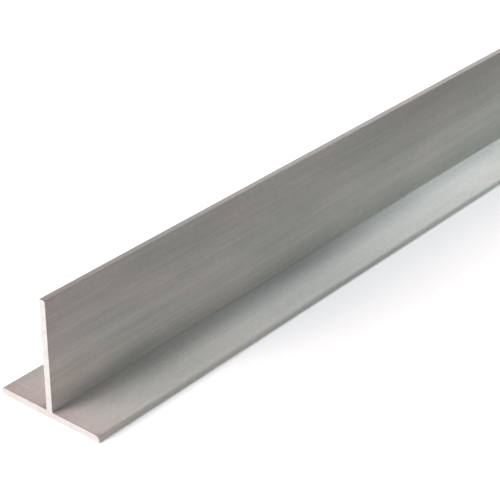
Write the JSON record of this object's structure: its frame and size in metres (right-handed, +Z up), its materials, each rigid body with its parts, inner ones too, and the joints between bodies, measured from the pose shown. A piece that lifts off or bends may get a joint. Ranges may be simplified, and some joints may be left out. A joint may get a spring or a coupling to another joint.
{
  "type": "tee profile",
  "caption": "Extruded aluminium tee profile with equal flange and web, in plain mill finish, sawn square at both ends, for framing, edging and panel joints.",
  "frame": {"origin": "middle of the underside of the flange, halfway along the stock", "axes": "+X across the flange, +Y along the stock, +Z up the web from the flange's underside"},
  "size_m": [0.025, 1, 0.025],
  "materials": {
    "mill_aluminium": "mill finish with fine die lines along the length, bright sawn ends"
  },
  "bodies": {
    "root": {"tee_profile": "mill_aluminium"}
  },
  "joints": []
}
